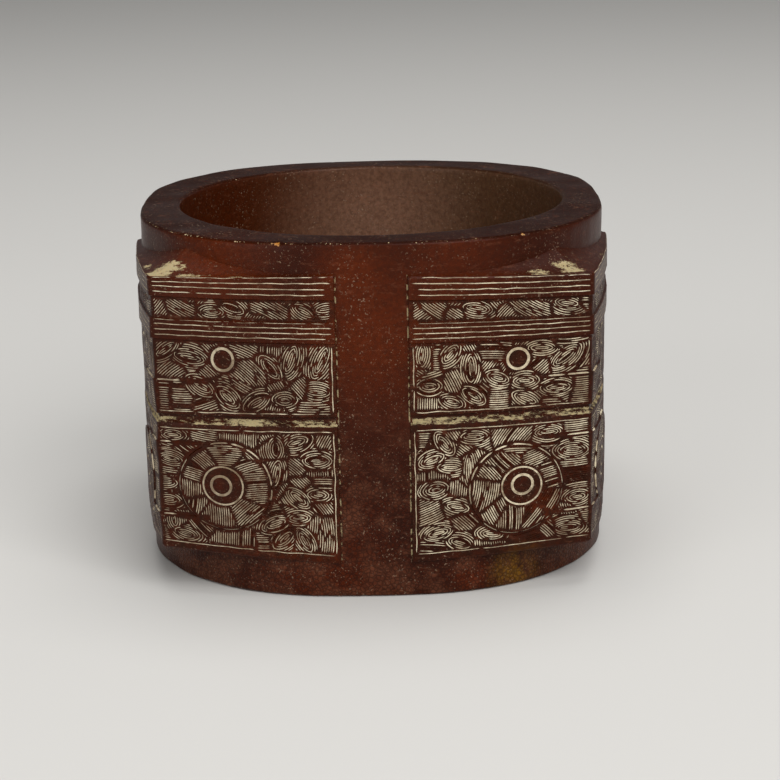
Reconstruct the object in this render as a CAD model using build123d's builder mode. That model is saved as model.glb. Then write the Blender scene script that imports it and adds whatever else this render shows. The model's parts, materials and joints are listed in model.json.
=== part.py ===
"""A squat jade cong: a square tube with a round bore, a collar at each end, and four corner blocks carved with
masks in two registers. It is one block of stone. The only other matter on it is the pale residue that is packed
into its drilled rings, which has a solid of its own in every ring.

Millimetres, +Z up. The origin is the middle of the foot, and the plain bands face -Y, +X, +Y and -X."""

from build123d import *
import math
import os

# The bore, and the wall round it that shows as a collar at both ends and as a plain band on each side
bore_radius = 30.3
wall = 5.9  # at the middle of a side
collar_bow = 4.7  # how far the middle of a side stands out beyond its ends
collar_rounding = 29.8
rim_chamfer = 0.35
band_width = 10.6

# The corner blocks
block_proud = 0.8  # how far a block stands out beyond the band beside it
block_bow = 4.5
shoulder_rise = 3.4  # height of the slope from a block's top corner up to the collar
sole_rise = 1.6  # height of the steeper slope under a block
slope_landing = 0.4  # how far the slopes run on into the collar

# The stack of heights, from the foot up
foot_collar_height = 5.6
lower_register_height = 20.8
channel_height = 1.7
upper_panel_height = 11.0
lower_bar_height = 3.3
scroll_band_height = 3.1
upper_bar_height = 3.3
head_collar_height = 5.2

channel_depth = 0.8
panel_depth = 0.35  # the panels and the scroll band lie this much below the bars and raised forms

# Raised forms of the masks, measured from a block's corner and from the foot of its register
eye_from_corner = 10.5
large_eye_height = 11.4
small_eye_height = 8.2
eyelid_radius = 7.0
flats_per_eyelid = 18  # an eyelid and a drilled ring are drawn with flats, which keeps their facets few
bridge_length = 8.0
bridge_foot = 14.0
bridge_height = 4.1
lower_nose_length = 7.6
lower_nose_foot = 2.3
lower_nose_height = 3.7
upper_nose_length = 8.0
upper_nose_foot = 1.0
upper_nose_height = 4.2

# Rings left by a tubular drill, as the radius of each ring's middle line
small_ring_radius = 1.6
pupil_ring_radius = 1.55
large_ring_radius = 3.0
ring_width = 0.42
ring_depth = 0.3
flats_per_ring = 12

# The residue rests on the floor of its ring, clear of the walls and below the surface of the stone
fill_clearance = 0.02
fill_recess = 0.05

relief_root = 1.0  # how deep the raised forms run into the stone behind them
overrun = 1.0  # how far a cut starts or ends outside the stone

sides = 4
quarter_turn = 360 / sides
hands = (-1, 1)  # the blocks left and right of a band

# Plan sizes that follow
collar_half = bore_radius + wall
collar_corner = collar_half - collar_bow
block_half = collar_half + block_proud
block_corner = block_half - block_bow
face_radius = (block_corner**2 + block_bow**2) / (2 * block_bow)  # of a block's bowed side
face_centre = face_radius - block_half
eye_x = block_corner - eye_from_corner

# Heights that follow
lower_register_foot = foot_collar_height
channel_foot = lower_register_foot + lower_register_height
upper_panel_foot = channel_foot + channel_height
lower_bar_foot = upper_panel_foot + upper_panel_height
scroll_band_foot = lower_bar_foot + lower_bar_height
upper_bar_foot = scroll_band_foot + scroll_band_height
block_top = upper_bar_foot + upper_bar_height
height = block_top + head_collar_height

front = Plane.XZ.offset(block_half + overrun)


def bowed_square(half, corner):
    """A square round the axis with bowed sides that meet in an edge at the corners."""
    with BuildSketch(mode=Mode.PRIVATE) as outline:
        with BuildLine():
            for side in range(sides):
                turn = quarter_turn * side
                ThreePointArc(
                    Vector(-corner, -corner).rotate(Axis.Z, turn),
                    Vector(0, -half).rotate(Axis.Z, turn),
                    Vector(corner, -corner).rotate(Axis.Z, turn),
                )
        make_face()
    return outline.sketch


def collar_outline():
    """The collar seen from above."""
    with BuildSketch(mode=Mode.PRIVATE) as outline:
        add(bowed_square(collar_half, collar_corner))
        fillet(outline.vertices(), collar_rounding)
    return outline.sketch


def block_outline(inset=0):
    """The corner blocks seen from above, as if they met across the bands, drawn in by an inset."""
    return bowed_square(block_half - inset, block_corner - inset)


def wrapped(front_forms, outer_inset, inner_inset):
    """Forms drawn on the front, given depth between two insets of the block's outline, on all four sides."""
    with BuildPart(mode=Mode.PRIVATE) as one_side:
        extrude(front_forms, amount=-(overrun + block_bow + inner_inset))
        with BuildSketch(Plane.XY):
            add(block_outline(outer_inset))
            add(block_outline(inner_inset), mode=Mode.SUBTRACT)
        extrude(amount=height, mode=Mode.INTERSECT)
    with BuildPart(mode=Mode.PRIVATE) as all_sides:
        with PolarLocations(0, sides):
            add(one_side.part)
    return all_sides.part


def eye_floor(across, up, surface_inset, side):
    """The plane on the floor of a drilled ring, square to the bowed face at the eye, looking outwards."""
    lean = math.degrees(math.asin(across / face_radius))
    turn = quarter_turn * side
    foot = Vector(0, -(face_radius - surface_inset - ring_depth)).rotate(Axis.Z, lean)
    return Plane(
        origin=Vector(foot.X, foot.Y + face_centre, up).rotate(Axis.Z, turn),
        x_dir=Vector(1, 0, 0).rotate(Axis.Z, lean + turn),
        z_dir=Vector(0, -1, 0).rotate(Axis.Z, lean + turn),
    )


def ring(radius, clearance=0):
    """The outline of a drilled ring."""
    with BuildSketch(mode=Mode.PRIVATE) as outline:
        RegularPolygon(radius + ring_width / 2 - clearance, flats_per_ring)
        RegularPolygon(radius - ring_width / 2 + clearance, flats_per_ring, mode=Mode.SUBTRACT)
    return outline.sketch


def raised_forms():
    """Eyelids, bridges and noses of the masks on both blocks of the front."""
    boxes = [
        (bridge_length, lower_register_foot + bridge_foot, bridge_height),
        (lower_nose_length, lower_register_foot + lower_nose_foot, lower_nose_height),
        (upper_nose_length, upper_panel_foot + upper_nose_foot, upper_nose_height),
    ]
    with BuildSketch(front, mode=Mode.PRIVATE) as forms:
        for hand in hands:
            for length, foot, box_height in boxes:
                with Locations((hand * (block_corner + overrun - length / 2), foot + box_height / 2)):
                    Rectangle(length + overrun, box_height)
            with Locations((hand * eye_x, lower_register_foot + large_eye_height)):
                RegularPolygon(eyelid_radius, flats_per_eyelid)
    return forms.sketch


def eye_floors(up, surface_inset):
    """The floors of one ring in all eight eyes of a register."""
    return [eye_floor(hand * eye_x, up, surface_inset, side) for side in range(sides) for hand in hands]


large_eye_floors = eye_floors(lower_register_foot + large_eye_height, 0)
small_eye_floors = eye_floors(upper_panel_foot + small_eye_height, panel_depth)
rings = {
    "pupil_ring_residue": (pupil_ring_radius, large_eye_floors),
    "large_ring_residue": (large_ring_radius, large_eye_floors),
    "small_ring_residue": (small_ring_radius, small_eye_floors),
}
collar = collar_outline()
collar_reach = collar.rotate(Axis.Z, quarter_turn / 2).bounding_box().max.X
slope_run = block_corner - collar_reach * math.sin(math.radians(quarter_turn / 2)) + slope_landing

os.makedirs("parts", exist_ok=True)

# The stone: block zones stacked from the foot up, sloped at top and bottom, then the tube they stand on
with BuildPart() as jade_block:
    for foot, zone_height, depth in (
        (lower_register_foot, lower_register_height, panel_depth),
        (channel_foot, channel_height, channel_depth),
        (upper_panel_foot, upper_panel_height, panel_depth),
        (lower_bar_foot, lower_bar_height, 0),
        (scroll_band_foot, scroll_band_height, panel_depth),
        (upper_bar_foot, upper_bar_height, 0),
    ):
        with BuildSketch(Plane.XY.offset(foot)):
            add(block_outline(depth))
        extrude(amount=zone_height)
    for level, rise, depth in (
        (block_top, shoulder_rise, 0),
        (lower_register_foot, -sole_rise, panel_depth),
    ):
        with BuildSketch(Plane.XY.offset(level)):
            add(block_outline(depth))
        with BuildSketch(Plane.XY.offset(level + rise)):
            add(block_outline(slope_run))
        loft(ruled=True)
    add(wrapped(raised_forms(), 0, relief_root))
    for radius, floors in rings.values():
        with BuildSketch(*floors):
            add(ring(radius))
        extrude(amount=ring_depth + overrun, mode=Mode.SUBTRACT)
    with BuildSketch():
        Rectangle(band_width, 2 * (block_half + overrun))
        Rectangle(2 * (block_half + overrun), band_width)
    extrude(amount=height, mode=Mode.SUBTRACT)
    with BuildSketch():
        add(collar)
    extrude(amount=height)
    with BuildSketch():
        Circle(bore_radius)
    extrude(amount=height, mode=Mode.SUBTRACT)
    end_faces = jade_block.faces().filter_by(Plane.XY).sort_by(Axis.Z)
    chamfer(end_faces[0].outer_wire().edges() + end_faces[-1].outer_wire().edges(), rim_chamfer)
jade_block.part.label = "jade_block"
export_step(jade_block.part, "parts/jade_block.step")

# Residue in the drilled rings of the eyes, one node for each size of ring
for name, (radius, floors) in rings.items():
    with BuildPart() as ring_residue:
        with BuildSketch(*floors):
            add(ring(radius, fill_clearance))
        extrude(amount=ring_depth - fill_recess)
    ring_residue.part.label = name
    export_step(ring_residue.part, f"parts/{name}.step")
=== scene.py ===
"""A squat jade cong dressed round its CAD frame: polished stone, carved corner blocks and pale residue.

A place on a corner block is u along the block's outline from its upright edge, v up and h out of that
outline. The carving is laid out flat in u and v, and the finished skin is then bent round the block."""

import functools
import json
import math
import random

import bmesh
import bpy
import numpy as np
from mathutils import Matrix, Vector
from mathutils.geometry import delaunay_2d_cdt

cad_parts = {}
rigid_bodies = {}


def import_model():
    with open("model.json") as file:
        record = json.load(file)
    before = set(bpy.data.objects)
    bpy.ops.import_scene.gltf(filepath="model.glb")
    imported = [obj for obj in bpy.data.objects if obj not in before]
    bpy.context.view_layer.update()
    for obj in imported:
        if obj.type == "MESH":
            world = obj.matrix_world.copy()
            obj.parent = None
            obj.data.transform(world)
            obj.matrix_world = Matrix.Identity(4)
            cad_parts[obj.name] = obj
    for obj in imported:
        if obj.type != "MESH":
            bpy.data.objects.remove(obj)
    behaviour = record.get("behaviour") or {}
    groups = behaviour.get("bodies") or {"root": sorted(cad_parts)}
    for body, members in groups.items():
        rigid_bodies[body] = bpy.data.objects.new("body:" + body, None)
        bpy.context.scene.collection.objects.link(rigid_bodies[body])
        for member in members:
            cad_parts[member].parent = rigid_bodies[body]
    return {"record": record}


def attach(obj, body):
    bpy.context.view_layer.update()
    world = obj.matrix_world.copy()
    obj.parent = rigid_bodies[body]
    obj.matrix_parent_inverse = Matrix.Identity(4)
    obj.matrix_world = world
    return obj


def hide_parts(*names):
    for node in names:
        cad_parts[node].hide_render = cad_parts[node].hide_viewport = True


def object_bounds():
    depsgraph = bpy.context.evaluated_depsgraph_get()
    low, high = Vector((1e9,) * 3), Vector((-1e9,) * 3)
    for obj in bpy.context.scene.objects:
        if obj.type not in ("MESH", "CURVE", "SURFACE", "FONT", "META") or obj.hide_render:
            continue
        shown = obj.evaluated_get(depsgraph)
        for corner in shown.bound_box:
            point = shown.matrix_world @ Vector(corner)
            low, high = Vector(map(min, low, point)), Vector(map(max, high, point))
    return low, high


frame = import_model()
CAD_BOUNDS = [list(corner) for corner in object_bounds()]
BORE = next(mount for mount in frame["record"]["mounts"] if mount["name"] == "bore")
BODY = "root"

bl_info = {
    "name": "Jade Cong Tube",
    "version": (1, 0, 0),
    "blender": (4, 5, 0),
    "location": "3D View > Sidebar > Cong",
    "description": "Carves a jade cong tube and lays the pale residue in its cuts",
    "category": "Add Mesh",
}

# Lengths below are millimetres, and MM turns them into Blender's metres
MM = 0.001
HEIGHT = round((CAD_BOUNDS[1][2] - CAD_BOUNDS[0][2]) / MM, 3)
BORE_RADIUS = BORE["dims"]["r_mm"]
TURN = math.pi / 2
NAMES = ("front_right", "back_right", "back_left", "front_left")
FRONT_RIGHT, FRONT_LEFT = 0, 3
HANDS = (-1, 1)  # the two halves of a corner block, left and right of its edge

# The outlines of the blocks and of the tube that they stand on
BLOCK_HALF = 37.0
BLOCK_BOW = 4.5
BLOCK_CORNER = BLOCK_HALF - BLOCK_BOW
FACE_RADIUS = (BLOCK_CORNER**2 + BLOCK_BOW**2) / (2 * BLOCK_BOW)
FACE_CENTRE = FACE_RADIUS - BLOCK_HALF
EDGE_ROUNDING = 0.95
BAND_HALF = 5.4
COLLAR_HALF = 36.2
COLLAR_CORNER = 31.5
COLLAR_ROUNDING = 29.8

# Heights on a block before its hand-cut drift, and how far below the raised forms each zone lies
SOLE, TOP = 5.5, 49.0
CHANNEL_LIP, CHANNEL_MIDDLE = 26.7, 27.5
BAR_FOOT, BAND_FOOT, BAND_TOP = 39.1, 42.25, 45.55
STEP = 0.1  # half the run of a cut ledge
PANEL_SINK, BAND_SINK, CHANNEL_SINK, FORM_SINK = 0.34, 0.3, 0.8, 0.06
PROFILE = (
    (SOLE, 0.5),
    (SOLE + 0.3, PANEL_SINK),
    (26.4, PANEL_SINK),
    (CHANNEL_LIP, PANEL_SINK + 0.08),
    (27.05, CHANNEL_SINK),
    (CHANNEL_MIDDLE, CHANNEL_SINK),
    (27.95, CHANNEL_SINK),
    (28.15, PANEL_SINK),
    (BAR_FOOT - STEP, PANEL_SINK),
    (BAR_FOOT + STEP, 0),
    (BAND_FOOT - STEP, 0),
    (BAND_FOOT + STEP, BAND_SINK),
    (BAND_TOP - STEP, BAND_SINK),
    (BAND_TOP + STEP, 0),
    (TOP - 0.25, 0),
    (TOP, 0.14),
)
WAVE_RATES, WAVE_REACH = (0.7, 1.5), 1.6  # how the waves of an unevenness differ, and how high their sum is
SIDE_WORN = (0.3, 0.12)  # how wide and how deep the edge beside a band is rounded
BLOCK_SWELLS = ((0.05, 11, 3), (0.018, 3.2, 4))  # the unevenness of ground faces: height, size across, seed
CORNERS_APART = 90  # sets the corners so far apart in these swells that no two are alike

# The drift of hand-cut levels: the rise at each height, for the left end, edge and right end of each corner
DRIFT_AT = (5.5, 28.0, 40.6, 47.2, 49.0)
DRIFT = (
    ((-0.1, 0, -0.05, -0.1, 0.0), (1.25, 0.1, -0.35, -0.95, -1.0), (0.2, 0.1, -0.1, -0.3, -0.3)),
    ((0.1, 0, 0.1, -0.1, -0.1), (0.7, -0.1, 0.2, 0.2, 0.1), (-0.1, 0.1, 0, -0.1, 0)),
    ((-0.1, 0.1, 0, 0.1, 0.1), (0.9, 0.1, -0.3, -0.4, -0.3), (0.1, 0, 0.1, 0.1, 0)),
    ((0.1, 0, 0.1, 0.1, 0), (1.8, 0, 0.55, 0.35, -0.1), (-0.1, 0, 0.15, 0.1, 0.3)),
)

# Raised forms that run across a corner's edge, as half their length, foot and top
BRIDGE = (8.3, 19.7, 23.6)
LOWER_NOSE = (7.9, 8.0, 11.4)
UPPER_NOSE = (8.4, 29.3, 33.2)
FORMS = (BRIDGE, LOWER_NOSE, UPPER_NOSE)
FORM_FADE = 0.8  # over what length a form sinks in at its ends
UNRAISED = (25.9, 28.7)  # heights round the channel that no raised form reaches
EYELID_RADIUS = 7.05

# Where the drilled eyes were read on the front: place from the band's middle, height and radius
RIGHT_EYES = {
    "lid": (20.9, 16.2, EYELID_RADIUS),
    "large": (21.7, 16.6, 3.0),
    "pupil": (21.8, 16.8, 1.55),
    "small": (21.3, 36.0, 1.58),
}
LEFT_EYES = {
    "lid": (-22.3, 17.3, EYELID_RADIUS),
    "large": (-22.6, 17.4, 3.05),
    "pupil": (-22.9, 17.4, 1.52),
    "small": (-22.0, 36.7, 1.6),
}
RING_HALF_WIDTHS = {"large": 0.15, "pupil": 0.22, "small": 0.22}
RING_DEPTH = 0.25
RING_WALL = 0.04  # how far a ring's wall leans in
RING_POINTS = 44
OUT_OF_ROUND = 0.02
RING_FIT, RING_RECESS = 0.02, 0.03  # how far the residue stays off a ring's walls, and below the stone
RING_BED = 0.96  # the share of a ring's depth that the residue reaches down to

# Engraved straight lines, and those of them that are only a nick along a bar's upper edge, their pale residue
# a painted highlight of that edge
BAR_LINES = (48.86, 48.05, 47.2, 46.35, 42.1, 41.4, 40.6, 39.82)
HIGHLIGHT_NICKS = (48.86, 42.1)
LOWER_PANEL, UPPER_PANEL, SCROLL_BAND = (7.0, 25.6), (28.85, 38.8), (42.5, 45.3)
FRAME_LEVELS = (6.75, 25.85, 28.6)
FRAME_INSET = 0.55
FORM_HIGHLIGHT_LINES = (0.5, 0.6, 0.85)  # how much of a form's half length the line along its top runs, for each form; its pale residue is partly a painted highlight of the form's upper edge

# Cells read from the photograph: eddies by middle, half length and lean, hatches by box, lean and freshness
RIGHT_EDDIES = (
    (14.7, 24.6, 1.0, 0), (25.7, 24.5, 1.0, 0), (10.3, 23.7, 0.8, -55), (8.5, 21.3, 0.8, 20),
    (11.2, 20, 1.0, -5), (8.9, 16.7, 0.5, 10), (14.0, 19.5, 1.8, 88), (12, 13.8, 0.9, -15),
    (9.2, 9.9, 0.9, 12), (12.4, 8.2, 0.8, -20), (17.2, 9.3, 0.8, -10), (29.5, 21.4, 1.0, -5),
    (30.2, 14, 0.7, 0), (28.8, 9.3, 1.1, -5), (7.2, 37.3, 0.9, 85), (11.3, 37.2, 0.7, 50),
    (14.3, 35, 1.2, 90), (18.3, 33.3, 0.7, -20), (22.3, 32.6, 0.8, 0), (24.8, 37.4, 1.1, -3),
    (28.3, 35.8, 1.2, 35), (27, 31.3, 1.1, 0), (8.2, 32.5, 0.5, 0), (11.5, 30, 0.7, -20),
    (14.6, 30.8, 0.8, -35), (22.5, 29.8, 1.0, -25), (15.2, 43.9, 1.0, -10), (28.7, 43.9, 1.0, -10),
)
RIGHT_HATCHES = (
    (17.2, 23.5, 24, 25.8, 50, 1), (28, 31.3, 24, 26, 0, 1), (6, 8, 24, 26, 0, 1), (10, 13, 24, 26, -55, 1),
    (12, 14.5, 21.5, 23.5, -40, 1), (7, 11, 18.2, 19.8, 90, 1), (11, 14, 15.5, 17.8, 85, 1),
    (6, 10, 11.5, 14.8, 22, 1), (11.5, 15, 10.5, 13, -45, 1), (6, 10.5, 7, 8.5, -8, 1),
    (14.5, 19, 7, 8.7, 97, 1), (11, 15, 6.5, 7.2, 0, 1), (14.2, 15.4, 12.9, 14.1, -62, 1),
    (28, 31.5, 18.5, 20, 0, 1), (29, 32, 15, 18, 0, 0.6), (28, 29.5, 12, 13.5, -70, 1),
    (25.5, 27, 8, 10, -50, 1), (31, 32.3, 10, 11.2, 0, 1), (20, 25, 6.6, 8.2, 10, 0.4),
    (26, 31, 6.6, 7.8, 0, 0.3), (8.7, 10, 35.5, 38.5, 0, 1), (13, 15, 37.3, 38.6, -60, 1),
    (15.5, 19, 36.3, 38.5, -3, 1), (10.5, 13, 31, 34.5, -65, 1), (15.8, 18, 34.5, 36, 50, 1),
    (18.5, 20.5, 33.3, 35, 55, 0.6), (23.3, 26, 33.7, 35.8, 40, 1), (26.5, 30, 37.5, 38.7, -3, 1),
    (29.5, 31.3, 29.5, 32.3, 0, 1), (6.2, 9.5, 29.2, 30.7, 88, 1), (6.2, 7.5, 34, 35.4, -35, 1),
    (7, 10, 33.5, 34.2, 15, 0.6), (17, 20, 29, 31.5, 0, 1), (24.5, 27, 28.8, 29.5, 0, 1),
    (5.9, 8.8, 42.4, 43.6, 35, 1), (8, 11, 43, 45, -35, 1), (11, 13.8, 44.4, 45.2, 40, 1),
    (10.5, 13.5, 42.8, 44, -35, 1), (17, 18.5, 44, 45.3, -50, 1), (18.9, 21.3, 42.3, 43.8, 45, 1),
    (20.5, 26, 42.8, 44.8, -32, 1), (24, 26.5, 44, 45, 38, 1), (30, 31.3, 43.2, 44.5, 0, 0.7),
)
RIGHT_LIDS = (
    (18.5, 22, 11, 13.2, 90, 1), (22, 25, 10.3, 13, 50, 0.6), (24.5, 27.5, 13, 16, 60, 1),
    (24.7, 27.5, 15.8, 20.5, 12, 0.6), (22.5, 25.5, 19.8, 22.5, 20, 1), (17, 20.8, 19.5, 21.8, -48, 1),
    (16.5, 18.5, 18, 20, -50, 1), (15.8, 17.8, 14, 17.5, 80, 1), (17, 19, 12, 14.5, -65, 0.6),
    (19, 24, 22, 23.5, -3, 1),
)
LEFT_EDDIES = (
    (-30, 24.9, 0.8, 0), (-14.6, 23.2, 0.5, 90), (-11.5, 24.3, 0.8, 20), (-8.5, 21.5, 0.8, 0),
    (-8.5, 16.2, 0.6, 0), (-14.6, 19.3, 1.3, 80), (-11.5, 15.7, 0.8, -40), (-14.9, 11.6, 1.0, 25),
    (-11.5, 12.6, 0.8, 5), (-13.7, 9.4, 0.9, 45), (-10.7, 9, 0.9, -60), (-28.6, 9.6, 0.8, -10),
    (-30.2, 11.6, 0.5, 90), (-31, 14.7, 0.7, 0), (-31.3, 17.3, 0.8, 5), (-30.5, 21.2, 0.9, -10),
    (-30.5, 38, 1.2, 35), (-27.0, 36.9, 1.3, -10), (-12, 36.8, 1.2, 70), (-7.5, 36.7, 1.5, 65),
    (-15, 35.5, 0.9, -50), (-8.3, 32, 1.0, -5), (-17.2, 30.3, 0.9, 30), (-21.5, 31, 0.8, -40),
    (-25.3, 32.5, 0.9, -30), (-13, 30.8, 0.5, 0), (-23.3, 43.8, 0.8, 0), (-20.3, 44.5, 0.9, -20),
    (-9.8, 44, 0.9, -30), (-6.7, 44.4, 0.8, 10),
)
LEFT_HATCHES = (
    (-27, -24, 24.6, 25.8, -10, 1), (-22, -17, 24.9, 25.8, 85, 1), (-17, -15, 24.6, 25.8, -60, 1),
    (-13.5, -12.5, 22.8, 24, 0, 1), (-8, -6.5, 23.5, 25.5, 60, 1), (-9.7, -6.3, 19.3, 20, 90, 1),
    (-9, -6.2, 16.8, 18.5, 0, 1), (-13, -10.5, 19.5, 21.3, -40, 1), (-14.8, -13.2, 16.5, 18.3, -60, 1),
    (-12.5, -9.8, 17.2, 18.6, -45, 1), (-12.5, -9.8, 15, 16, -40, 1), (-9.5, -6.5, 14, 15.3, -50, 1),
    (-10.3, -8.5, 10.5, 12.7, 85, 1), (-8.3, -6.3, 7.5, 12, 90, 1), (-18, -16, 7.2, 9.7, 5, 1),
    (-24, -18, 7.4, 9.6, 88, 1), (-27.5, -25, 10, 12, -50, 1), (-32.8, -31.3, 8.2, 10.5, 0, 1),
    (-32, -30.5, 12, 13.4, 0, 0.6), (-32, -29.8, 18.8, 20, -5, 1), (-31, -29.9, 15, 19, 85, 0.6),
    (-29.5, -28, 22.6, 24, -40, 0.6), (-31.5, -28, 34.6, 36, 35, 1), (-25.5, -23.8, 34, 36, -40, 1),
    (-24.5, -23, 38, 38.9, -45, 1), (-19.4, -17, 37.8, 38.8, -25, 1), (-16, -13.3, 37.4, 38.7, 87, 1),
    (-19.6, -15.5, 33, 36, -45, 1), (-15, -13, 32, 34, -55, 1), (-11.5, -9, 31, 33.5, -50, 1),
    (-16, -13, 28.6, 30, 72, 1), (-26, -23, 29, 31, 20, 1), (-32.5, -30, 29.5, 32.8, 0, 1),
    (-30, -27, 29.5, 32.5, 0, 0.6), (-11, -7, 29, 30.3, 0, 0.6), (-20, -18, 31.8, 33.4, -30, 1),
    (-32.3, -29.8, 42.9, 44.4, 50, 1), (-30, -25.5, 43.2, 45, -28, 1), (-27, -24.6, 45, 46, 45, 1),
    (-18.7, -15.3, 42.7, 43.9, 50, 1), (-17.5, -12, 43.4, 45.2, -28, 1), (-13.3, -11, 44.7, 45.8, 50, 1),
)
LEFT_LIDS = (
    (-25.8, -21.3, 11.5, 13.6, 90, 1), (-21.3, -18, 12, 14.5, 45, 1), (-19, -16.6, 16, 19.6, 8, 1),
    (-19.8, -17.5, 20, 21.6, 20, 1), (-18.6, -17, 21.4, 22.6, -45, 0.6), (-24, -20, 21.6, 23, 0, 1),
    (-27, -24.5, 20.4, 22, -40, 1), (-28.8, -26.6, 15.6, 18, 88, 1), (-28, -26, 18.3, 20.2, -15, 1),
    (-28, -25.9, 13.2, 15, 80, 0.7),
)
EDDY_RADIUS = 1.3
EDDY_RINGS = 11
EDDY_HEART = 0.45  # radius of an eddy's innermost loop, in pitches
LEAF = 1.22  # 1 would give round eddies, more gives pointed ones
HATCH_REACH = 3.2
HATCH_BOW = 0.035
HATCH_BOWS = (-1, -0.5, 0.6, 1)
CELL_GAP = 0.03
LEAST_REACH = 0.01
RADIUS, LEAN, FRESH, IS_EDDY = 4, 5, 6, 7  # columns of a cell, after the start and end of its core
JITTER = 0.5  # how far the cells wander on the faces that the photograph doesn't show
LEAN_JITTER = (20, 16)  # how many degrees an eddy and a hatch turn for each millimetre that they wander

# How far the strokes of the scrolls stay from ledges, from eyelids, from a block's edge and from frame lines
LEDGE_CLEAR, LID_CLEAR, EDGE_CLEAR, FRAME_CLEAR = 0.26, 0.3, 0.45, 0.25

# The carver's hand: the length of strokes and gaps, and how much pitch, place, strokes and width differ
LONGEST, SHORTEST = 4.8, 0.38
CUT_OFF = (0.4, 0.75)  # a longer line is cut after this much of the longest stroke
BREAK = 0.22
LATE = (0, 0.06)  # how far a stroke starts late or ends early
SPACING = 0.42
TIP, TAPER = 1.15, 5  # a stroke is as wide as TIP less its place, -1 to 1, to the power TAPER or more
EDDY_STEP, LEAST_STEPS, HATCH_STEP = 0.18, 14, 0.2
UNEVEN_PITCH, UNEVEN_LINE, UNEVEN_STROKE, UNEVEN_WIDTH = (0.97, 1.03), (-0.02, 0.02), (0.8, 1.1), (0.82, 1.12)

# Wear of the scrolls: shares of strokes cut in faded and fresh cells and filled, and what wear takes
DRAWN_FADED, DRAWN_FRESH = 0.55, 0.45
FILLED, WORN_OUT, FADED_OUT = 0.99, 0.1, 0.25
THINNED = 0.12
WEAR_SIZE, WEAR_SEED, HALVES_APART, SEEDS_APART = 7, 9, 50, 40

# The carving on a block's right half is finer and more worn, so its strokes have a share of the full width
BAND_WIDTHS = {-1: 0.84, 1: 0.72}  # in the scroll band, on the left and the right half
LOWER_WIDTH, UPPER_WIDTH = 0.92, 0.82
EDGE_WIDTH, EDGE_REACH = 0.84, 6  # beside the edge, and how far from it the strokes widen again

# Places of the front, with a radius, where the residue has fallen out of the scrolls
BARE_PLACES = ((24.4, 13.4, 2.0), (29.6, 17.6, 1.4), (23.2, 9.4, 1.5), (-27.5, 21.5, 1.6), (-16.5, 13.2, 1.4))

# The shares of a cut's width and depth that its residue takes up
STRIP_FIT, STRIP_BED = 0.99, 0.97

# Long lines: the pieces between breaks, the breaks, and the size of their waver
RULED_PIECE, RULED_BREAK = (3, 7), (0.05, 0.5)
RULED_STEP, WAVER_SIZE = 0.5, 5
BAR_START, BAR_ENDS = 0.32, (0.35, 0.4, 0.55, 1.2)

# Waver, share of the line width and chance of a break of each kind of long line
BAR_CUT, HIGHLIGHT_NICK_CUT = (0.035, 0.92, 0.05), (0.035, 0.6, 0.35)
LEVEL_CUT, UPRIGHT_CUT, FORM_CUT = (0.04, 0.9, 0.25), (0.04, 0.9, 0.2), (0.03, 1.4, 0.15)
LID_WIDTH, LID_FILLED, LID_TURNS = 1.1, 0.8, (40, 400, 4.0)
FRAME_START, FRAME_MEET, FORM_START = 0.5, 0.15, 0.35
SHORTER = 0.6  # the lines on the forms' right half reach this much of their length

# Crust left on the shoulders: place along the block, width, thickness, and its lower and upper end
SHOULDER_CRUST = (
    ((-7.4, 2.8, 0.84, 0.6, 4.6), (-1.6, 3.2, 0.9, 1.6, 6.4), (-4, 5, 0.72, 0, 0.8), (12, 3, 0.7, 0.3, 2.4)),
    ((-8, 3, 0.76, 0.4, 3.6), (5, 3.5, 0.82, 0.3, 4.4)),
    ((-4, 4, 0.84, 0.3, 3.4), (14, 3, 0.72, 0.1, 2.4)),
    ((0.4, 4, 0.95, 0.2, 6), (6, 3.4, 0.88, 0.1, 2.8), (13.4, 3.4, 0.78, 0, 1.1), (-6, 3, 0.74, 0.4, 3.4)),
)
CRUST_FADE, CRUST_START = 2.2, 0.5
CHANNEL_CRUST = (26.9, 27.8, 0.68, 0.12, 12, 22)  # from and to, thickness, unevenness, its size and seed
LIP_PAINTED_HIGHLIGHT = (0.1, 0.71, 0.14, 7, 24)  # a painted highlight along the channel's lower lip, laid in as crust: reach from the lip, and the same
FILM_ZONES = ((SOLE, 39), (42.3, 45.5))  # the carved panels and the scroll band, which carry a dull film

# How the block is closed behind its carved skin
SET_IN = 0.5
SLOPE_RISE, SLOPE_CURVE, SOLE_FALL = 0.42, 1.8, 0.24
SLOPE_START = 0.1
SLOPE_ROWS = (0.04, 0.1, 0.19, 0.3, 0.42, 0.55, 0.7, 0.85, 1)
BACK_RADIUS = 34.0

# The flat layout of a block: how far the side walls, the upper and the lower slope reach out of its face
WALL_OUT, UPPER_OUT, LOWER_OUT, LAYOUT_MARGIN = 3.0, 9.0, 5.0, 0.5
HIDDEN_AT, HIDDEN_STEP, HIDDEN_STEPS = 0.998, 0.001, 5  # where the hidden back lies in it

# The names of the materials
JADE, RESIDUE, FLOOR = "Polished_nephrite_jade", "Packed_earth_residue", "Plain_matte_floor"

# How finely the skin of a block is drawn
EDGE_FINE = 1.5  # the columns are closer this near to the edge
COLUMNS_ASIDE, COLUMNS_EDGE = 56, 25
ROW_PITCH, BARE_CELL = 0.9, 0.6
LID_POINTS, LEDGE_POINTS = 90, 35
EDGE_UPRIGHTS = (-1, -0.6, -0.2, 0.2, 0.6, 1)
BLOCK_SMOOTH, TUBE_SMOOTH = 28, 40  # degrees between faces that still look like one

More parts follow.
